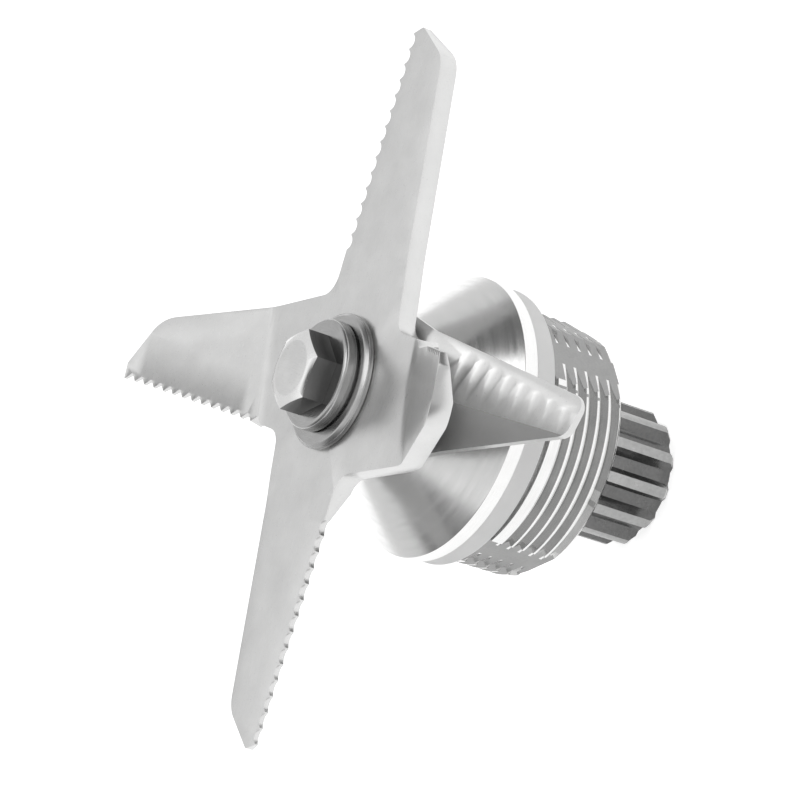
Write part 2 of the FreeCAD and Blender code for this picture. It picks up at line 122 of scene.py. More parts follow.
def finish_mesh(name, bm, body, nodes, materials, sharp=28, flat=0.0):
    # Closes a piece, brings it to metres, shades it and puts it on its body.
    # Flat areas larger than flat square millimetres keep flat shading.
    bmesh.ops.remove_doubles(bm, verts=bm.verts, dist=WELD)
    bmesh.ops.recalc_face_normals(bm, faces=bm.faces)
    bm.normal_update()
    planes = flat_faces(bm, flat) if flat else ()
    for f in bm.faces:
        f.smooth = f not in planes
    bmesh.ops.scale(bm, vec=(MM, MM, MM), verts=bm.verts)
    mesh = bpy.data.meshes.new(name)
    bm.to_mesh(mesh)
    bm.free()
    piece = bpy.data.objects.new(name, mesh)
    bpy.context.scene.collection.objects.link(piece)
    mesh.set_sharp_from_angle(angle=math.radians(sharp))
    for m in materials:
        mesh.materials.append(m)
    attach(piece, body)
    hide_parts(*nodes)
    return piece


def turned(profile, steps=ROUND_STEPS, segments=4):
    # Solid of revolution about Z from (radius, height, rounding) corners
    bm = bmesh.new()
    ring = [bm.verts.new((p.x, 0, p.y)) for p in rounded(profile, segments)]
    edges = [bm.edges.new((ring[i - 1], ring[i])) for i in range(len(ring))]
    bmesh.ops.spin(bm, geom=ring + edges, cent=(0, 0, 0), axis=UP, angle=2 * math.pi, steps=steps,
                   use_merge=True, use_duplicate=False)
    bmesh.ops.remove_doubles(bm, verts=bm.verts, dist=WELD)
    bmesh.ops.recalc_face_normals(bm, faces=bm.faces)
    return bm


def thicken(bm, height):
    # Extrudes all faces straight up, or down where height is negative
    made = bmesh.ops.extrude_face_region(bm, geom=bm.faces[:])["geom"]
    moved = [v for v in made if isinstance(v, bmesh.types.BMVert)]
    bmesh.ops.translate(bm, vec=(0, 0, height), verts=moved)
    bmesh.ops.recalc_face_normals(bm, faces=bm.faces)


def prism(points, z0, z1):
    # Upright solid with the outline that the points make
    bm = bmesh.new()
    bm.faces.new([bm.verts.new((p[0], p[1], z0)) for p in points])
    thicken(bm, z1 - z0)
    return bm


def merged(*parts):
    # One bmesh of several, which stay separate solids
    whole = bmesh.new()
    for part in parts:
        mesh = bpy.data.meshes.new("part")
        part.to_mesh(mesh)
        part.free()
        whole.from_mesh(mesh)
        bpy.data.meshes.remove(mesh)
    return whole


def carved(body, cutter, operation="DIFFERENCE"):
    # Boolean of two bmeshes
    made = []
    for name, bm in (("body", body), ("cutter", cutter)):
        mesh = bpy.data.meshes.new(name)
        bm.to_mesh(mesh)
        bm.free()
        o = bpy.data.objects.new(name, mesh)
        bpy.context.scene.collection.objects.link(o)
        made.append(o)
    cut = made[0].modifiers.new("cut", "BOOLEAN")
    cut.object = made[1]
    cut.operation = operation
    cut.solver = "EXACT"
    cut.use_self = True
    solved = made[0].evaluated_get(bpy.context.evaluated_depsgraph_get())
    result = bpy.data.meshes.new_from_object(solved)
    out = bmesh.new()
    out.from_mesh(result)
    for o in made:
        mesh = o.data
        bpy.data.objects.remove(o)
        bpy.data.meshes.remove(mesh)
    bpy.data.meshes.remove(result)
    return out


def split_at(bm, point, normal):
    # Adds edges where a plane crosses the faces
    bmesh.ops.bisect_plane(bm, geom=bm.verts[:] + bm.edges[:] + bm.faces[:], dist=0.0002,
                           plane_co=point, plane_no=normal)


def bevel_edges(bm, edges, width):
    bmesh.ops.bevel(bm, geom=edges, offset=width, offset_type="OFFSET", segments=2, profile=0.5,
                    affect="EDGES", clamp_overlap=True, material=-1)


def round_edges(bm, width, angle):
    # Rounds the edges whose two faces meet at more than angle degrees
    least = math.radians(angle)
    edges = [e for e in bm.edges if len(e.link_faces) == 2 and e.calc_face_angle(0) > least]
    bevel_edges(bm, edges, width)


# Materials

def group(name, inputs, outputs, build):
    # Shader node group made once, with named sockets
    tree = bpy.data.node_groups.get(name)
    if tree:
        return tree
    tree = bpy.data.node_groups.new(name, "ShaderNodeTree")
    for kind, label, default in inputs:
        socket = tree.interface.new_socket(label, in_out="INPUT", socket_type=kind)
        if default is not None:
            socket.default_value = default
    for kind, label in outputs:
        tree.interface.new_socket(label, in_out="OUTPUT", socket_type=kind)
    build(Nodes(tree), tree.nodes.new("NodeGroupInput"), tree.nodes.new("NodeGroupOutput"))
    return tree


class Nodes:
    # Short calls for the nodes that the finishes are made of
    def __init__(self, tree):
        self.tree = tree

    def new(self, kind, **values):
        node = self.tree.nodes.new(kind)
        for key, value in values.items():
            setattr(node, key, value)
        return node

    def link(self, a, b):
        self.tree.links.new(a, b)

    def put(self, node, socket, value):
        if isinstance(value, (int, float, tuple)):
            node.inputs[socket].default_value = value
        else:
            self.link(value, node.inputs[socket])

    def math(self, operation, a, b=0.0, clamp=False):
        node = self.new("ShaderNodeMath", operation=operation, use_clamp=clamp)
        self.put(node, 0, a)
        self.put(node, 1, b)
        return node.outputs[0]

    def noise(self, vector, scale, detail=3.0, rough=0.55):
        node = self.new("ShaderNodeTexNoise")
        self.put(node, "Vector", vector)
        self.put(node, "Scale", scale)
        self.put(node, "Detail", detail)
        self.put(node, "Roughness", rough)
        return node.outputs["Fac"]

    def stretched(self, vector, scale, turn=(0.0, 0.0, 0.0)):
        node = self.new("ShaderNodeMapping")
        self.put(node, "Vector", vector)
        self.put(node, "Scale", scale)
        self.put(node, "Rotation", turn)
        return node.outputs[0]

    def remap(self, value, low, high, to_low, to_high):
        node = self.new("ShaderNodeMapRange")
        for socket, v in zip((0, 1, 2, 3, 4), (value, low, high, to_low, to_high)):
            self.put(node, socket, v)
        return node.outputs[0]

    def mix(self, factor, a, b):
        node = self.new("ShaderNodeMix", data_type="RGBA")
        self.put(node, 0, factor)
        self.put(node, 6, a)
        self.put(node, 7, b)
        return node.outputs[2]

    def group(self, tree, **inputs):
        node = self.new("ShaderNodeGroup", node_tree=tree)
        for label, value in inputs.items():
            self.put(node, label.replace("_", " "), value)
        return node


VECTOR = "NodeSocketVector"
FLOAT = "NodeSocketFloat"


def grain_group():
    # Fine lines along one direction, with cloudy handling marks
    def build(n, inside, outside):
        p = inside.outputs["Position"]
        lines = n.noise(n.stretched(p, (9000.0, 700.0, 9000.0)), 1.0, 4.0, 0.7)
        clouds = n.noise(p, 260.0, 4.0, 0.6)
        specks = n.noise(p, 4200.0, 2.0, 0.5)
        n.link(lines, outside.inputs["Lines"])
        n.link(clouds, outside.inputs["Clouds"])
        n.link(n.remap(specks, 0.68, 0.75, 0.0, 1.0), outside.inputs["Specks"])
    return group("grain", [(VECTOR, "Position", None)],
                 [(FLOAT, "Lines"), (FLOAT, "Clouds"), (FLOAT, "Specks")], build)


def lathe_group():
    # Rings that a lathe leaves about the Z axis
    def build(n, inside, outside):
        p = inside.outputs["Position"]
        parts = n.new("ShaderNodeSeparateXYZ")
        n.link(p, parts.inputs[0])
        east, north = n.math("POWER", parts.outputs[0], 2.0), n.math("POWER", parts.outputs[1], 2.0)
        radius = n.math("SQRT", n.math("ADD", east, north))
        place = n.new("ShaderNodeCombineXYZ")
        n.link(radius, place.inputs[0])
        n.link(parts.outputs[2], place.inputs[1])
        angle = n.math("ARCTAN2", parts.outputs[1], parts.outputs[0])
        n.link(n.math("MULTIPLY", angle, 0.0004), place.inputs[2])
        rings = n.noise(place.outputs[0], 9000.0, 3.0, 0.75)
        wide = n.noise(place.outputs[0], 1500.0, 2.0, 0.5)
        n.link(rings, outside.inputs["Rings"])
        n.link(wide, outside.inputs["Wide Rings"])
        n.link(n.noise(p, 300.0, 4.0, 0.6), outside.inputs["Clouds"])
    return group("lathe rings", [(VECTOR, "Position", None)],
                 [(FLOAT, "Rings"), (FLOAT, "Wide Rings"), (FLOAT, "Clouds")], build)


def start_material(name):
    # A new material with its node calls, its shader and the place on the piece
    material = bpy.data.materials.new(name)
    material.use_nodes = True
    n = Nodes(material.node_tree)
    shader = material.node_tree.nodes["Principled BSDF"]
    place = n.new("ShaderNodeTexCoord").outputs["Object"]
    return material, n, shader, place


def shade(value):
    # Grey that is a trace warm
    return (value, value, value * 0.995, 1.0)


def give_bump(n, shader, height, strength, distance):
    bump = n.new("ShaderNodeBump")
    n.put(bump, "Strength", strength)
    n.put(bump, "Distance", distance)
    n.link(height, bump.inputs["Height"])
    n.link(bump.outputs[0], shader.inputs["Normal"])


def ground_steel(name, light, dark, rough=0.36, bump=0.25, turn=0.0, aniso=0.35):
    # Flat ground or brushed steel with lines along one way
    material, n, shader, place = start_material(name)
    where = n.stretched(place, (1.0, 1.0, 1.0), (0.0, 0.0, math.radians(turn)))
    grain = n.group(grain_group(), Position=where)
    tone = n.math("ADD", n.math("MULTIPLY", grain.outputs["Clouds"], 0.6),
                  n.math("MULTIPLY", grain.outputs["Lines"], 0.4))
    colour = n.mix(n.remap(tone, 0.3, 0.7, 0.0, 1.0), shade(dark), shade(light))
    spotted = n.mix(n.math("MULTIPLY", grain.outputs["Specks"], 0.35), colour, shade(dark * 0.6))
    n.link(spotted, shader.inputs["Base Color"])
    n.put(shader, "Metallic", 1.0)
    n.put(shader, "Anisotropic", aniso)
    polish = n.remap(grain.outputs["Lines"], 0.2, 0.8, rough - 0.06, rough + 0.08)
    n.link(polish, shader.inputs["Roughness"])
    give_bump(n, shader, grain.outputs["Lines"], bump, 0.00002)
    return material


def lathed_steel(name, light, dark, rough=0.24, bump=0.2, aniso=0.6):
    # Turned steel with rings about the axis
    material, n, shader, place = start_material(name)
    rings = n.group(lathe_group(), Position=place)
    tone = n.math("ADD", n.math("MULTIPLY", rings.outputs["Rings"], 0.5),
                  n.math("MULTIPLY", rings.outputs["Clouds"], 0.5))
    colour = n.mix(n.remap(tone, 0.3, 0.7, 0.0, 1.0), shade(dark), shade(light))
    n.link(colour, shader.inputs["Base Color"])
    n.put(shader, "Metallic", 1.0)
    n.put(shader, "Anisotropic", aniso)
    tangent = n.new("ShaderNodeTangent", direction_type="RADIAL", axis="Z")
    n.link(tangent.outputs[0], shader.inputs["Tangent"])
    polish = n.remap(rings.outputs["Wide Rings"], 0.2, 0.8, rough - 0.06, rough + 0.06)
    n.link(polish, shader.inputs["Roughness"])
    give_bump(n, shader, rings.outputs["Rings"], bump, 0.00002)
    return material


def tumbled_metal(name, light, dark, rough=0.45, bump=0.4, scale=2500.0):
    # Stone-grey metal left as cast, milled or pressed
    material, n, shader, place = start_material(name)
    grit = n.noise(place, scale, 4.0, 0.65)
    clouds = n.noise(place, 350.0, 3.0, 0.6)
    tone = n.math("ADD", n.math("MULTIPLY", grit, 0.5), n.math("MULTIPLY", clouds, 0.5))
    colour = n.mix(n.remap(tone, 0.35, 0.65, 0.0, 1.0), shade(dark), shade(light))
    n.link(colour, shader.inputs["Base Color"])
    n.put(shader, "Metallic", 1.0)
    n.link(n.remap(clouds, 0.3, 0.7, rough - 0.08, rough + 0.1), shader.inputs["Roughness"])
    give_bump(n, shader, grit, bump, 0.00004)
    return material


def soft_rubber(name, light, dark, rough=0.6):
    material, n, shader, place = start_material(name)
    skin = n.noise(place, 3000.0, 3.0, 0.6)
    clouds = n.noise(place, 200.0, 3.0, 0.5)
    colour = n.mix(n.remap(clouds, 0.3, 0.7, 0.0, 1.0), shade(dark), shade(light))
    n.link(colour, shader.inputs["Base Color"])
    n.link(n.remap(skin, 0.3, 0.7, rough - 0.06, rough + 0.08), shader.inputs["Roughness"])
    give_bump(n, shader, skin, 0.3, 0.00003)
    return material


def finish_named(key):
    # The finishes of this unit, made when a piece first asks for one
    tones = bpy.context.scene.blade_unit_tones
    found = bpy.data.materials.get(key)
    if found:
        return found
    if key == "blade face steel":
        return ground_steel(key, tones.blade, tones.blade * 0.86, 0.3, 0.25, 0.0, 0.3)
    # Undersides: a darker copy of the blade steel, painted shade under the blades
    if key == "blade underside steel with painted shade":
        return ground_steel(key, tones.blade * 0.42, tones.blade * 0.36, 0.4, 0.3, 0.0, 0.0)
    if key == "ground bevel steel":
        return ground_steel(key, tones.blade * 1.1, tones.blade * 0.95, 0.33, 0.15, 0.0, 0.0)
    if key == "lower blade steel":
        return ground_steel(key, tones.blade, tones.blade * 0.88, 0.14, 0.08, 0.0, 0.0)
    if key == "blade edge steel":
        return ground_steel(key, tones.edge, tones.edge * 0.9, 0.3, 0.1, 90.0, 0.2)
    if key == "polished chamfer steel":
        return ground_steel(key, 0.86, 0.78, 0.2, 0.05, 0.0, 0.0)
    # Bolt sides: a darker copy of the bolt steel, a painted dark reflection
    if key == "bolt side steel with painted dark reflection":
        return ground_steel(key, tones.bolt * 0.2, tones.bolt * 0.15, 0.34, 0.3, 90.0, 0.2)
    if key == "cone turned steel":
        return lathed_steel(key, tones.housing, tones.housing * 0.9, 0.2, 0.12, 0.6)
    if key == "thread crest steel":
        return lathed_steel(key, tones.housing, tones.housing * 0.85, 0.16, 0.1, 0.3)
    # Thread flanks: a darker copy of the turned steel, painted shade in the grooves
    if key == "thread flank steel with painted shade":
        return lathed_steel(key, tones.housing * 0.66, tones.housing * 0.52, 0.13, 0.1, 0.0)
    if key == "slot milled metal":
        return tumbled_metal(key, tones.housing * 0.46, tones.housing * 0.38, 0.5, 0.5, 3500.0)
    if key == "washer turned steel":
        return lathed_steel(key, tones.blade * 0.68, tones.blade * 0.5, 0.24, 0.25, 0.6)
    if key == "bolt steel":
        return ground_steel(key, tones.bolt, tones.bolt * 0.8, 0.3, 0.4, 90.0, 0.2)
    if key == "spline steel":
        return tumbled_metal(key, tones.spline, tones.spline * 0.75, 0.22, 0.2, 2500.0)
    # Tooth gaps: a darker copy of the spline steel, painted shade between the teeth
    if key == "spline gap steel with painted shade":
        return tumbled_metal(key, tones.spline * 0.42, tones.spline * 0.3, 0.25, 0.2, 2500.0)
    if key == "spindle ground steel":
        return lathed_steel(key, 0.58, 0.46, 0.22, 0.15, 0.4)
    if key == "bearing steel":
        return lathed_steel(key, 0.66, 0.56, 0.14, 0.08, 0.3)
    if key == "pressed sheet steel":
        return tumbled_metal(key, 0.52, 0.42, 0.3, 0.15, 1800.0)
    if key == "spring wire":
        return tumbled_metal(key, 0.42, 0.3, 0.3, 0.2, 2600.0)
    if key == "black screw steel":
        return tumbled_metal(key, 0.1, 0.06, 0.4, 0.3, 2600.0)
    if key == "grey gasket rubber":
        return soft_rubber(key, tones.gasket, tones.gasket * 0.93, 0.55)
    if key == "black seal rubber":
        return soft_rubber(key, 0.035, 0.02, 0.5)
    raise ValueError("no finish named " + key)


def tone_setting(label, description, value):
    return bpy.props.FloatProperty(name=label, description=description, default=value,
                                   min=0.0, max=1.0, subtype="FACTOR")


def size_setting(label, description, value):
    return bpy.props.FloatProperty(name=label, description=description, default=value)


class BladeUnitTones(bpy.types.PropertyGroup):
    """Tones of the unit's finishes"""
    blade: tone_setting("Blade steel", "Tone of the blades and washers", 0.77)
    edge: tone_setting("Blade edges", "Tone of the cut edges of the blades", 0.62)
    housing: tone_setting("Housing metal", "Tone of the turned housing", 0.78)
    bolt: tone_setting("Bolt", "Tone of the top bolt", 0.8)
    spline: tone_setting("Drive spline", "Tone of the drive spline", 0.4)
    gasket: tone_setting("Gasket", "Tone of the gasket", 0.9)


class BladeUnitSizes(bpy.types.PropertyGroup):
    """Sizes of the unit's fine detail, in millimetres"""
    plate: size_setting("Upper plate", "Thickness of the upper blade", 2.2)
    lower_plate: size_setting("Lower plate", "Thickness of the lower blade", 1.3)
    edge_round: size_setting("Edge rounding", "Rounding of the blades' edges", 0.1)
    long_tooth: size_setting("Long arm teeth", "Depth of the long arms' teeth", 0.65)
    short_tooth: size_setting("Short arm teeth", "Depth of the short arms' teeth", 0.8)
    bevel: size_setting("Bevel width", "Width of the bevel under the arms", 5.2)
    thread_pitch: size_setting("Thread pitch", "Pitch of the housing's thread", 1.5)
    thread_depth: size_setting("Thread depth", "Depth of the housing's thread", 0.92)


# Blades

# The drive hole's radius and half the distance between its flats
HOLE_RADIUS, HOLE_HALF = 4.05, 3.05

# One tooth as (share along, share of the depth)
ROUND_TOOTH = ((0.04, 0.0), (0.12, 0.38), (0.22, 0.72), (0.35, 0.94), (0.5, 1.0), (0.65, 0.94),
               (0.78, 0.72), (0.88, 0.38), (0.96, 0.0))
SAW_TOOTH = ((0.0, 0.0), (0.38, 0.82), (0.42, 0.95), (0.47, 1.0), (0.53, 0.95), (0.6, 0.82))


def toothed(start, stop, count, depth, shape):
    # Points of a row of teeth from start to stop, cut to the left of the way they run
    start, stop = Vector(start), Vector(stop)
    run = stop - start
    inward = Vector((-run.y, run.x)).normalized()
    points = []
    for i in range(count):
        for along, deep in shape:
            points.append(start + run * ((i + along) / count) + inward * (deep * depth))
    return points


def plate(outline, hole, top, thick, edge_round):
    # Flat blank between its outline and the drive hole
    bm = bmesh.new()
    loops = []
    for points in (outline, hole):
        ring = [bm.verts.new((p[0], p[1], top)) for p in points]
        loops += [bm.edges.new((ring[i - 1], ring[i])) for i in range(len(ring))]
    bmesh.ops.triangle_fill(bm, edges=loops, use_beauty=True, use_dissolve=False, normal=UP)
    thicken(bm, -thick)
    if edge_round > 0:
        # Only the outline's edges, which all lie further out than the hole's
        rim = [e for e in bm.edges if len(e.link_faces) == 2 and e.calc_face_angle(0) > 1.2
               and abs(e.verts[0].co.z - e.verts[1].co.z) < 1e-6
               and e.verts[0].co.to_2d().length > 6]
        bevel_edges(bm, rim, edge_round)
    return bm


def mark_sides(bm):
    # Material 0 on the top, 1 on the cut edges and 2 underneath, where a darker copy of the steel is painted shade
    for f in bm.faces:
        f.material_index = 1 if abs(f.normal.z) < 0.97 else 2 if f.normal.z < 0 else 0


def drive_hole(radius, half, steps=20):
    # Round hole with two flats, each arc in steps
    points = []
    reach = math.acos(half / radius)
    for side in (0, math.pi):
        for k in range(steps + 1):
            a = side + reach + (math.pi - 2 * reach) * k / steps
            points.append((radius * math.cos(a), radius * math.sin(a)))
    return points


def fold(bm, line, angle, inner, skew, top, thick, up):
    # Bends both ends of a flat blank along lines at one distance from the axis,
    # up or down by angle round the inner radius
    a = math.radians(angle)
    outer = inner + thick
    reach = (inner if up else outer) * math.tan(a / 2)
    for side in (0, 180):
        n = polar(1, skew + side)
        for k in range(9):
            split_at(bm, n * (line - reach + k * reach / 4) + UP * top, n)
        for v in bm.verts:
            s = v.co.dot(n)
            if s <= line - reach:
                continue
            share = min((s - line + reach) / (2 * reach), 1.0)
            beyond = max(s - line - reach, 0.0)
            depth = top - v.co.z
            turn = share * a
            if up:
                r = inner + depth
                x = line - reach + r * math.sin(turn) + beyond * math.cos(a)
                z = top + inner - r * math.cos(turn) + beyond * math.sin(a)
            else:
                r = inner + thick - depth
                x = line - reach + r * math.sin(turn) + beyond * math.cos(a)
                z = top - thick - inner + r * math.cos(turn) - beyond * math.sin(a)
            v.co = v.co + n * (x - s)
            v.co.z = z


def thin_under(bm, direction, edge, width, lift, start, runout, top, thick):
    # Grinds the underside of an arm towards its leading edge, running out before start.
    # The arm points along direction.
    along = polar(1, direction)
    across = polar(1, direction - 90)
    split_at(bm, across * (edge + width), across)
    steps = 8 if runout > 1 else 1
    for k in range(steps + 1):
        split_at(bm, along * (start - runout * k / steps), along)
    for v in bm.verts:
        x, y = v.co.dot(across), v.co.dot(along)
        if x < edge + width and y > start - runout + 0.001 and v.co.z < top - thick * 0.5:
            lifted = lift * (edge + width - x) / width
            v.co.z += min(lifted, lift * (y - start + runout) / runout)


class MESH_OT_upper_blade(bpy.types.Operator):
    """Upper blade: two flat arms and two raised ones with toothed leading edges"""
    bl_idname = "mesh.upper_blade"
    bl_label = "Upper blade"

    def execute(self, context):
        sizes = context.scene.blade_unit_sizes
        thick = sizes.plate
        # The leading edges' distance from the middle, their teeth and the land left on them
        lead, teeth, land = 7.14, 14, 0.6
        long_tip, short_tip = Vector((-7.9, 39.6)), Vector((-35.3, -7.8))
        half = [(9.25, 7.2, 2.3), (7.85, 11.65, 12.0), (6.6, 15.0, 20.0), (-0.1, 37.4, 3.5),
                (-6.2, 40.45, 0.5), (*long_tip, 0.0), (-6.9, 9.4, 2.6), (-18.6, 6.2, 15.0),
                (-33.8, 0.3, 4.0), (-35.8, -6.0, 0.5), (*short_tip, 0.0), (-13.6, -lead, 0.0)]
        # The near short arm is a little narrower than its twin, with teeth in its outer half only
        worn_tip = Vector((34.6, 6.76))
        other = [(-x, -y, r) for x, y, r in half[:9]] + [
            (35.6, 5.4, 0.8), (*worn_tip, 0.0), (24.0, 6.75, 0.0), (17.0, 6.2, 2.0),
            (15.2, 6.95, 0.8), (13.6, 7.05, 0.0)]
        rows = ((long_tip, toothed((-7.896, 39.55), (-lead, 14.35), teeth, sizes.long_tooth, ROUND_TOOTH)),
                (-long_tip, toothed((7.896, -39.55), (lead, -14.35), teeth, sizes.long_tooth, ROUND_TOOTH)),
                (short_tip, toothed((-35.12, -7.783), (-13.7, -lead), teeth, sizes.short_tooth, SAW_TOOTH)),
                (worn_tip, toothed((34.4, 6.76), (24.1, 6.75), 7, sizes.short_tooth * 0.7, SAW_TOOTH)))
        outline = []
        for p in rounded(half + other, 6):
            outline.append(p)
            for tip, row in rows:
                if (p - tip).length < 1e-6:
                    outline += row
        bm = plate(outline, drive_hole(HOLE_RADIUS, HOLE_HALF), TOP, thick, sizes.edge_round)
        mark_sides(bm)
        for direction, start, runout in ((90, 14.5, 3.5), (270, 14.5, 3.5), (180, 16.4, 0.3), (0, 16.4, 0.3)):
            thin_under(bm, direction, -lead, sizes.bevel, thick - land, start, runout, TOP, thick)
        fold(bm, line=15.4, angle=24.5, inner=5.0, skew=21.0, top=TOP, thick=thick, up=True)
        finish_mesh("upper_blade_ground", bm, "rotor", ["upper_blade"],
                    [finish_named("blade face steel"), finish_named("blade edge steel"),
                     finish_named("blade underside steel with painted shade")], flat=12.0)
        return {"FINISHED"}


class MESH_OT_lower_blade(bpy.types.Operator):
    """Lower blade: two arms bent down, with a fluted bevel along the leading edge"""
    bl_idname = "mesh.lower_blade"
    bl_label = "Lower blade"

    def execute(self, context):
        sizes = context.scene.blade_unit_sizes
        top = TOP - sizes.plate
        thick = sizes.lower_plate
        half = [(12.0, -6.3, 3.0), (18.0, -3.5, 0.0), (32.3, 2.1, 1.6), (33.1, 6.3, 1.5), (11.0, 8.7, 3.0),
                (4.0, 9.9, 6.0)]
        outline = rounded(half + [(-x, -y, r) for x, y, r in half], 8)
        bm = plate(outline, drive_hole(HOLE_RADIUS, HOLE_HALF), top, thick, 0.0)
        mark_sides(bm)
        # The grind starts at root, runs along the leading edge for reach and narrows by skew from wide
        lead = math.atan2(6.4 - 8.6, 33.0 - 11.9)
        root, reach = (13.0, 8.55, top), 20
        skew, wide = math.radians(6.8), 4.4
        grind_slope, edge_slope, edge_land = math.radians(-5.0), math.radians(-22.0), 0.3
        flutes, first, pitch = 8, 3.6, 2.02
        for side in (0, 180):
            place = (Matrix.Rotation(math.radians(side), 4, "Z") @ Matrix.Translation(root)
                     @ Matrix.Rotation(lead, 4, "Z"))
            grind = prism([(-29.0, 0.0), (5.0, 0.0), (5.0, 11.0), (-29.0, 11.0)], 0.0, 4.0)
            bmesh.ops.transform(grind, verts=grind.verts, matrix=place @ Matrix.Translation((reach, -wide, 0))
                                @ Matrix.Rotation(skew, 4, "Z") @ Matrix.Rotation(grind_slope, 4, "X"))
            bm = carved(bm, grind)
            steep = prism([(-9.0, -4.0), (25.0, -4.0), (25.0, 6.0), (-9.0, 6.0)], 0.0, 4.0)
            low = Matrix.Translation((0, 0, edge_land - thick))
            bmesh.ops.transform(steep, verts=steep.verts, matrix=place @ low @ Matrix.Rotation(edge_slope, 4, "X"))
            bm = carved(bm, steep)
            tools = []
            for i in range(flutes):
                x = first + (i + 0.5) * pitch
                inner = -wide - (reach - x) * math.tan(skew)
                tools.append(self.flute(place @ Matrix.Translation((x, inner, 0))))
            bm = carved(bm, merged(*tools))
        bm.normal_update()
        for f in bm.faces:
            if 0.5 < f.normal.z < 0.999:
                f.material_index = 3
        fold(bm, line=11.5, angle=24.0, inner=1.5, skew=0.0, top=top, thick=thick, up=False)
        finish_mesh("lower_blade_ground", bm, "rotor", ["lower_blade"],
                    [finish_named("lower blade steel"), finish_named("blade edge steel"),
                     finish_named("blade underside steel with painted shade"), finish_named("ground bevel steel")],
                    sharp=20, flat=12.0)
        return {"FINISHED"}

    def flute(self, place):
        # Round hollow that sinks along +Y as the grinding wheel left it
        bm = bmesh.new()
        radius, around, along = 2.6, 56, 14
        start, length = -0.4, 8.4
        slope, curve = math.tan(math.radians(5.6)), 0.0075
        rings = []
        for j in range(along + 1):
            y = start + length * j / along
            sink = slope * y + curve * max(y, 0) ** 2
            rings.append([bm.verts.new((radius * math.sin(2 * math.pi * k / around), y,
                                        radius - sink - radius * math.cos(2 * math.pi * k / around)))
                          for k in range(around)])
        for a, b in zip(rings, rings[1:]):
            for k in range(around):
                bm.faces.new((a[k - 1], a[k], b[k], b[k - 1]))
        bm.faces.new(rings[0])
        bm.faces.new(rings[-1])
        bmesh.ops.recalc_face_normals(bm, faces=bm.faces)
        bmesh.ops.transform(bm, verts=bm.verts, matrix=place)
        return bm


# Bolt and washers

class MESH_OT_top_stack(bpy.types.Operator):
    """Top bolt and the two washers under its head"""
    bl_idname = "mesh.top_stack"
    bl_label = "Bolt and washers"

    def execute(self, context):
        z, high, bore, rim = TOP, 1.15, 2.65, 7.7
        thin = turned([(bore, z, 0), (7.5, z, 0.15), (rim, z + 0.3, 0.15), (rim, z + 0.75, 0.3),
                       (7.25, z + high, 0.25), (bore, z + high, 0)])
        finish_mesh("wide_washer_turned", thin, "rotor", ["wide_washer"],
                    [finish_named("washer turned steel")])
        z, high, bore, rim = z + high, 1.75, 2.85, 6.25
        thick = turned([(bore, z, 0), (5.8, z, 0), (5.8, z + 0.25, 0), (rim, z + 0.25, 0.1),
                        (rim, z + high, 0.45), (bore, z + high, 0)])
        # The thick washer has slipped a little to one side, as its bore allows
        bmesh.ops.translate(thick, vec=(-0.08, 0.25, 0), verts=thick.verts)
        finish_mesh("thick_washer_turned", thick, "rotor", ["thick_washer"],
                    [finish_named("washer turned steel")])
        z, high, flat, radius = z + high, 2.95, 4.0, 2.5
        corner = flat / math.cos(math.radians(30))
        head = prism([polar(corner, 25.8 + 60 * i) for i in range(6)], z, z + high)
        dome = turned([(0, z - 1, 0), (corner + 0.03, z - 1, 0), (corner + 0.03, z + 2.49, 0),
                       (3.15, z + high, 0), (0, z + high, 0)])
        head = carved(head, dome, "INTERSECT")
        head.normal_update()
        # Upright faces take the bolt steel's dark copy as painted dark reflection, and the chamfer takes the
        # polished steel
        for f in head.faces:
            f.material_index = 1 if abs(f.normal.z) < 0.3 else 2 if f.normal.z < 0.99 else 0
        round_edges(head, 0.06, 25)
        shank = turned([(0, z - 14, 0), (2.0, z - 14, 0), (radius, z - 13.5, 0), (radius, z - 0.02, 0),
                        (0, z - 0.02, 0)], 64)
        finish_mesh("top_bolt_hex", merged(head, shank), "rotor", ["top_bolt"],
                    [finish_named("bolt steel"), finish_named("bolt side steel with painted dark reflection"),
                     finish_named("polished chamfer steel")], flat=6.0)
        return {"FINISHED"}


# Housing

# Radii of the turned forms outside
CREST, NECK, RIM = 14.9, 14.3, 16.25
# Radii of the bores inside, from the top down, and of the circlip's groove
SEAT_BORE, SEAL_BORE, BEARING_BORE, CLIP_GROOVE = 5.5, 7.2, 11.0, 11.5
# Heights of the shoulders that the frame doesn't give
THREAD_TOP, RIM_TOP, SEAL_TOP, BEARING_TOP = 22.3, 27.7, 35.2, 31.4


def helical_groove(major, pitch, depth, z0, z1):
    # V-shaped groove that climbs one pitch a turn
    bm = bmesh.new()
    wide, narrow = pitch * 0.43, pitch * 0.12
    out, deep = major / 2 + 0.06, major / 2 - depth
    corners = ((out, -wide), (deep, -narrow), (deep, narrow), (out, wide))
    face = bm.faces.new([bm.verts.new((x, 0, z0 + z)) for x, z in corners])
    turns = (z1 - z0) / pitch
    steps = int(turns * 144)
    bmesh.ops.spin(bm, geom=[face], cent=(0, 0, 0), axis=UP, dvec=(0, 0, (z1 - z0) / steps),
                   angle=2 * math.pi * turns, steps=steps, use_merge=False, use_duplicate=False)
    bmesh.ops.recalc_face_normals(bm, faces=bm.faces)
    return bm


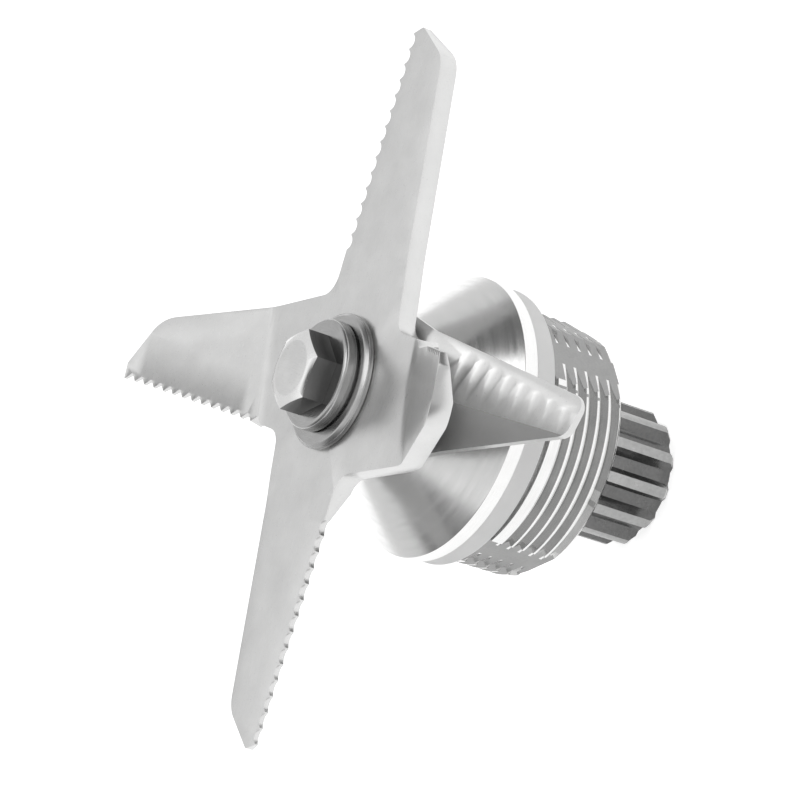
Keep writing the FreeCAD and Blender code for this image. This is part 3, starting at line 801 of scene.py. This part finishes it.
class MESH_OT_bearing_housing(bpy.types.Operator):
    """Turned housing with its cone, rim, neck, helical thread and milled slots"""
    bl_idname = "mesh.bearing_housing"
    bl_label = "Housing"

    def execute(self, context):
        sizes = context.scene.blade_unit_sizes
        low = HOUSING_LOW
        body = turned([(CLIP_GROOVE, low, 0), (14.1, low, 0), (CREST, low + 0.8, 0), (CREST, THREAD_TOP, 0.12),
                       (NECK, THREAD_TOP, 0), (NECK, RIM_LOW, 0), (RIM, RIM_LOW, 0.1), (RIM, RIM_TOP, 0.15),
                       (7.1, CONE_TOP, 0.4), (SEAT_BORE, CONE_TOP, 0.2), (SEAT_BORE, SEAL_TOP, 0),
                       (SEAL_BORE, SEAL_TOP, 0), (SEAL_BORE, BEARING_TOP, 0), (BEARING_BORE, BEARING_TOP, 0),
                       (BEARING_BORE, 15.45, 0), (CLIP_GROOVE, 15.45, 0), (CLIP_GROOVE, 14.35, 0),
                       (BEARING_BORE, 14.35, 0), (BEARING_BORE, low + 0.5, 0)])
        groove = helical_groove(2 * CREST, sizes.thread_pitch, sizes.thread_depth, low - 1.6, 20.7)
        body = carved(body, groove)
        # Direction, distance from the axis and both sides of each flat milled across the thread
        slots = ((50, 13.9, -4.5, 7.5), (80, 13.95, -5.2, 5.2), (174, 13.9, -3.45, 3.45),
                 (298, 13.9, -3.45, 3.45))
        beyond, slot_top = 18, 23.2
        cutters = []
        for angle, deep, near, far in slots:
            box = prism([(deep, near), (beyond, near), (beyond, far), (deep, far)], low - 1, slot_top)
            turn = Matrix.Rotation(math.radians(angle), 3, "Z")
            bmesh.ops.rotate(box, cent=(0, 0, 0), matrix=turn, verts=box.verts)
            cutters.append(box)
        body = carved(body, merged(*cutters))
        # Thread flanks take the darker copy of the turned steel as painted shade in the grooves
        for f in body.faces:
            c = f.calc_center_median()
            if c.z < GASKET_LOW + 0.01:
                f.material_index = 3 if abs(f.normal.z) > 0.3 and c.z > low + 0.9 else 1
                for angle, deep, *_ in slots:
                    across = polar(1, angle)
                    if abs(c.dot(across) - deep) < 0.02 and f.normal.dot(across) > 0.9:
                        f.material_index = 2
        finish_mesh("housing_turned", body, "housing", ["housing"],
                    [finish_named("cone turned steel"), finish_named("thread crest steel"),
                     finish_named("slot milled metal"), finish_named("thread flank steel with painted shade")])
        return {"FINISHED"}


class MESH_OT_rim_gasket(bpy.types.Operator):
    """Flat rubber ring under the housing's rim"""
    bl_idname = "mesh.rim_gasket"
    bl_label = "Gasket"

    def execute(self, context):
        outer = 16.0
        bm = turned([(NECK, GASKET_LOW, 0), (outer, GASKET_LOW, 0.3), (outer, RIM_LOW, 0.08), (NECK, RIM_LOW, 0)])
        finish_mesh("gasket_ring", bm, "housing", ["gasket"],
                    [finish_named("grey gasket rubber")])
        return {"FINISHED"}


# Drive end

class MESH_OT_drive_spline(bpy.types.Operator):
    """Spline with twelve teeth and chamfered ends"""
    bl_idname = "mesh.drive_spline"
    bl_label = "Drive spline"

    def execute(self, context):
        tip, root, count = 8.03, 6.6, 12
        chamfer, collar, collar_low = 1.05, 5.7, SPLINE_TOP - 1.6
        recess, screw_hole, spindle = 3.8, 2.2, 4.02
        points = []
        for i in range(count):
            mid = -3.0 + i * 360 / count
            for k in range(5):
                points.append(polar(tip, mid - 4.4 + k * 2.2))
            for k in range(5):
                points.append(polar(root, mid + 8.8 + k * 3.1))
        blank = prism(points, 0.0, collar_low)
        for z in (chamfer, SPLINE_TOP - 2.4):
            split_at(blank, Vector((0, 0, z)), UP)
        for v in blank.verts:
            r = v.co.to_2d().length
            limit = tip - chamfer if v.co.z < 0.5 else tip
            if r > limit:
                v.co.x *= limit / r
                v.co.y *= limit / r
        round_edges(blank, 0.12, 30)
        cap = turned([(0, 5, 0), (tip, SPLINE_TOP - 1.8, 0), (tip, collar_low, 0), (collar, collar_low, 0),
                      (collar, SPLINE_TOP, 0.1), (0, SPLINE_TOP, 0)], 96)
        bore = turned([(0, -1, 0), (recess, -1, 0), (recess, 3.4, 0), (screw_hole, 3.4, 0), (screw_hole, 5.0, 0),
                       (spindle, 5.0, 0), (spindle, SPLINE_TOP + 1, 0), (0, SPLINE_TOP + 1, 0)], 96)
        body = carved(carved(blank, cap, "UNION"), bore)
        # Faces between the teeth take the darker copy of the spline steel as painted shade
        for f in body.faces:
            c = f.calc_center_median()
            f.material_index = 1 if c.to_2d().length < 7.4 and 0.1 < c.z < SPLINE_TOP - 1.7 else 0
        finish_mesh("drive_spline_toothed", body, "rotor", ["drive_spline"],
                    [finish_named("spline steel"), finish_named("spline gap steel with painted shade")])
        return {"FINISHED"}


class OBJECT_OT_blade_unit_inner(bpy.types.Operator):
    """Finishes of the spindle, sleeve, seal, bearings and small parts, whose frame shapes stay"""
    bl_idname = "object.blade_unit_inner"
    bl_label = "Spindle, seal and bearings"

    def execute(self, context):
        finishes = {
            "spindle ground steel": ("spindle", "inner_spacer", "outer_spacer"),
            "bearing steel": ("upper_outer_ring", "upper_inner_ring", "upper_balls", "lower_outer_ring",
                              "lower_inner_ring", "lower_balls"),
            "pressed sheet steel": ("upper_cage", "lower_cage", "upper_shields", "lower_shields"),
            "spring wire": ("seal_spring", "circlip"),
            "black seal rubber": ("lip_seal",),
            "black screw steel": ("spline_screw",),
        }
        for key, names in finishes.items():
            for name in names:
                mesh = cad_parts[name].data
                mesh.materials.clear()
                mesh.materials.append(finish_named(key))
        z0, z1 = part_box("seat_sleeve")[0].z / MM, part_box("seat_sleeve")[1].z / MM
        bm = turned([(4.0, z0, 0), (5.0, z0, 0.2), (5.0, CONE_TOP + 0.4, 0), (6.2, CONE_TOP + 0.4, 0.15),
                     (6.2, z1, 0.1), (4.0, z1, 0)], 128)
        finish_mesh("seat_sleeve_turned", bm, "rotor", ["seat_sleeve"],
                    [finish_named("spindle ground steel")])
        return {"FINISHED"}


# Stage

class OBJECT_OT_blade_unit_stage(bpy.types.Operator):
    """Pale floor, soft lights, white surroundings and the camera"""
    bl_idname = "object.blade_unit_stage"
    bl_label = "Stage"

    def execute(self, context):
        self.make_camera(context)
        self.make_world(context)
        self.make_floor(context)
        self.make_lights(context)
        context.scene.view_settings.view_transform = "Standard"
        return {"FINISHED"}

    def make_camera(self, context):
        # Fitted to the outlines of the round parts and the bolt head in the photograph
        camera = bpy.data.cameras.new("camera")
        camera.sensor_width = 36.0
        camera.lens = 153.43
        camera.shift_x = 0.08031
        camera.shift_y = -0.02195
        camera.clip_start, camera.clip_end = 0.01, 20.0
        o = bpy.data.objects.new("camera", camera)
        context.scene.collection.objects.link(o)
        right = Vector((0.458963, 0.311101, -0.832207))
        up = Vector((-0.150239, 0.950377, 0.272419))
        back = Vector((0.875660, 0.0, 0.482928))
        turn = Matrix((right, up, back)).transposed().to_4x4()
        middle, distance = Vector((0, 0, 41.4)), 371.98
        o.matrix_world = Matrix.Translation(middle * MM + back * distance * MM) @ turn
        context.scene.camera = o

    def make_world(self, context):
        # White to the camera. The metal mirrors a ceiling with a dark patch over the unit, and
        # above the horizon two dark flags at the sides.
        world = bpy.data.worlds.new("studio")
        world.use_nodes = True
        context.scene.world = world
        n = Nodes(world.node_tree)
        world.node_tree.nodes.clear()
        path = n.new("ShaderNodeLightPath")
        way = n.new("ShaderNodeSeparateXYZ")
        n.link(n.new("ShaderNodeTexCoord").outputs["Generated"], way.inputs[0])
        x, y, z = way.outputs
        east, north = n.math("ADD", x, 0.17), n.math("ADD", y, 0.1)
        reach = n.math("SQRT", n.math("ADD", n.math("MULTIPLY", east, east), n.math("MULTIPLY", north, north)))
        ceiling = n.new("ShaderNodeValToRGB")
        ceiling.color_ramp.interpolation = "EASE"
        for spot, value in ((0.12, 0.03), (0.2, 0.2), (0.28, 0.5), (0.4, 0.75), (0.6, 0.5)):
            stop = ceiling.color_ramp.elements.new(spot)
            stop.color = (value, value, value, 1.0)
        for stop, value in ((0, 0.03), (-1, 0.5)):
            ceiling.color_ramp.elements[stop].color = (value, value, value, 1.0)
        n.link(reach, ceiling.inputs[0])
        edge_on = n.remap(n.math("ABSOLUTE", y), 0.65, 0.71, 0.0, 1.0)
        flag = n.math("MULTIPLY", edge_on, n.remap(x, -0.53, -0.44, 0.0, 1.0))
        above = n.remap(z, 0.0, 0.1, 0.0, 1.0)
        shut = n.remap(n.math("MULTIPLY", flag, above), 0.0, 1.0, 1.6, 0.3)
        walls = n.math("MULTIPLY", ceiling.outputs[0], shut)
        seen = n.new("ShaderNodeMix", data_type="FLOAT")
        n.link(path.outputs["Is Camera Ray"], seen.inputs[0])
        n.link(walls, seen.inputs[2])
        n.put(seen, 3, 1.0)
        background = n.new("ShaderNodeBackground")
        n.put(background, "Color", (1.0, 1.0, 1.0, 1.0))
        n.link(seen.outputs[0], background.inputs["Strength"])
        out = n.new("ShaderNodeOutputWorld")
        n.link(background.outputs[0], out.inputs[0])

    def make_floor(self, context):
        # Glows a little to the camera and in reflections, and not as a light on the piece
        bm = bmesh.new()
        bmesh.ops.create_grid(bm, x_segments=1, y_segments=1, size=6.0)
        mesh = bpy.data.meshes.new("floor")
        bm.to_mesh(mesh)
        bm.free()
        floor = bpy.data.objects.new("floor", mesh)
        context.scene.collection.objects.link(floor)
        material = bpy.data.materials.new("pale floor")
        material.use_nodes = True
        n = Nodes(material.node_tree)
        material.node_tree.nodes.clear()
        matte = n.new("ShaderNodeBsdfDiffuse")
        n.put(matte, "Color", (0.8, 0.8, 0.8, 1.0))
        glow = n.new("ShaderNodeEmission")
        n.put(glow, "Strength", 0.7)
        both = n.new("ShaderNodeAddShader")
        n.link(matte.outputs[0], both.inputs[0])
        n.link(glow.outputs[0], both.inputs[1])
        path = n.new("ShaderNodeLightPath")
        seen = n.math("MAXIMUM", path.outputs["Is Camera Ray"],
                      n.math("MAXIMUM", path.outputs["Is Glossy Ray"], path.outputs["Is Transmission Ray"]))
        pick = n.new("ShaderNodeMixShader")
        n.link(seen, pick.inputs[0])
        n.link(matte.outputs[0], pick.inputs[1])
        n.link(both.outputs[0], pick.inputs[2])
        out = n.new("ShaderNodeOutputMaterial")
        n.link(pick.outputs[0], out.inputs[0])
        mesh.materials.append(material)

    def make_lights(self, context):
        lamps = (("key", (0.35, 0.45, 0.75), 0.6, 1.2), ("fill", (0.3, -0.6, 0.4), 0.7, 0.25))
        for name, place, size, power in lamps:
            light = bpy.data.lights.new(name, "AREA")
            light.shape = "SQUARE"
            light.size = size
            light.energy = power
            o = bpy.data.objects.new(name, light)
            context.scene.collection.objects.link(o)
            spot = Vector(place)
            aim = Vector((0, 0, 0.03)) - spot
            o.matrix_world = Matrix.Translation(spot) @ aim.to_track_quat("-Z", "Y").to_matrix().to_4x4()


STEPS = (
    MESH_OT_upper_blade, MESH_OT_lower_blade, MESH_OT_top_stack, MESH_OT_bearing_housing, MESH_OT_rim_gasket,
    MESH_OT_drive_spline, OBJECT_OT_blade_unit_inner, OBJECT_OT_blade_unit_stage,
)


class VIEW3D_PT_blade_unit(bpy.types.Panel):
    """Lists the unit's pieces in the sidebar"""
    bl_idname = "VIEW3D_PT_blade_unit"
    bl_label = "Blade unit"
    bl_space_type = "VIEW_3D"
    bl_region_type = "UI"
    bl_category = "Blade unit"

    def draw(self, context):
        for settings in (context.scene.blade_unit_sizes, context.scene.blade_unit_tones):
            for name in settings.__annotations__:
                self.layout.prop(settings, name)
        for step in STEPS:
            self.layout.operator(step.bl_idname)


CLASSES = (BladeUnitTones, BladeUnitSizes, VIEW3D_PT_blade_unit) + STEPS


def register():
    for c in CLASSES:
        bpy.utils.register_class(c)
    bpy.types.Scene.blade_unit_tones = bpy.props.PointerProperty(type=BladeUnitTones)
    bpy.types.Scene.blade_unit_sizes = bpy.props.PointerProperty(type=BladeUnitSizes)


def unregister():
    del bpy.types.Scene.blade_unit_sizes
    del bpy.types.Scene.blade_unit_tones
    for c in reversed(CLASSES):
        bpy.utils.unregister_class(c)


def main():
    register()
    for step in STEPS:
        area, call = step.bl_idname.split(".")
        getattr(getattr(bpy.ops, area), call)()


if __name__ == "__main__":
    main()
